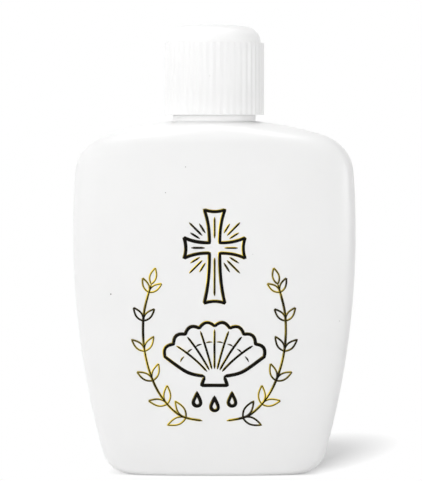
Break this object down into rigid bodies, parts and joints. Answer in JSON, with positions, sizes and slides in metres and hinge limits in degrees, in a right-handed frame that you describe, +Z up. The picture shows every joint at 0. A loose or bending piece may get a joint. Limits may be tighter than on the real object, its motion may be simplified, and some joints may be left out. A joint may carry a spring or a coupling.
{
  "type": "holy water bottle",
  "caption": "Flat white moulded plastic pocket bottle with an arched shoulder, a round neck and a ribbed, domed screw cap that turns off to pour or refill.",
  "frame": {"origin": "centre of the foot, on the surface that the bottle stands on", "axes": "+Z up along the neck and the cap's screw axis, X across the width, -Y out of the front"},
  "size_m": [0.075, 0.034, 0.1194],
  "materials": {
    "body_plastic": "satin, slightly see-through white polyethylene",
    "cap_plastic": "satin white moulded plastic",
    "liner_foam": "closed foam sealing disc",
    "gold_foil": "hot-stamped foil print"
  },
  "bodies": {
    "bottle": {"bottle_body": "body_plastic"},
    "liner": {"cap_liner": "liner_foam"},
    "cap": {"screw_cap": "cap_plastic"}
  },
  "joints": [
    {"name": "cap_lift", "type": "slide", "parent": "bottle", "child": "liner", "axis": [0, 0, 1], "range_m": [0, 0.0224]},
    {"name": "cap_turn", "type": "hinge", "parent": "liner", "child": "cap", "pos_m": [0, 0, 0.112], "axis": [0, 0, 1], "range_deg": [0, 2520]}
  ],
  "couplings": [
    {"joint": "cap_lift", "follows": "cap_turn", "m_per_rad": 0.0005093}
  ]
}
